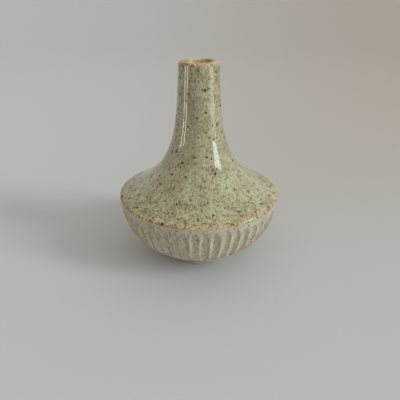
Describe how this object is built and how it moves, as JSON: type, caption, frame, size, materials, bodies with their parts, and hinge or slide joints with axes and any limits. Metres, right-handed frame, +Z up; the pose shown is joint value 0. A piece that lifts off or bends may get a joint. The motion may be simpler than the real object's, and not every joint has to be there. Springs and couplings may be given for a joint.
{
  "type": "bud vase",
  "caption": "Bud vase with a fluted round bowl, a sharp-edged flared shoulder, a tall slim neck with a rounded lip and a low foot ring, glazed inside and out.",
  "frame": {"origin": "centre of the foot's resting face", "axes": "+Z up the axis of the wheel, from the foot to the mouth; the vase is the same all the way round, so +X and +Y are any two level directions"},
  "size_m": [0.086, 0.086, 0.104],
  "materials": {
    "bare_clay": "unglazed speckled stoneware, matt",
    "fired_slip": "fired slip, matt",
    "speckled_gloss": "glossy grey-green glaze with iron speckles, breaking tan on edges",
    "thin_satin": "thin satin glaze over flutes, cream on ridges and brown in grooves",
    "liner_gloss": "glossy grey-green liner glaze"
  },
  "bodies": {
    "root": {"foot_ring": "bare_clay", "lower_bowl": "bare_clay", "upper_body": "bare_clay", "seam_slip": "fired_slip", "upper_glaze": "speckled_gloss", "lower_glaze": "thin_satin", "liner_glaze": "liner_gloss"}
  },
  "joints": []
}
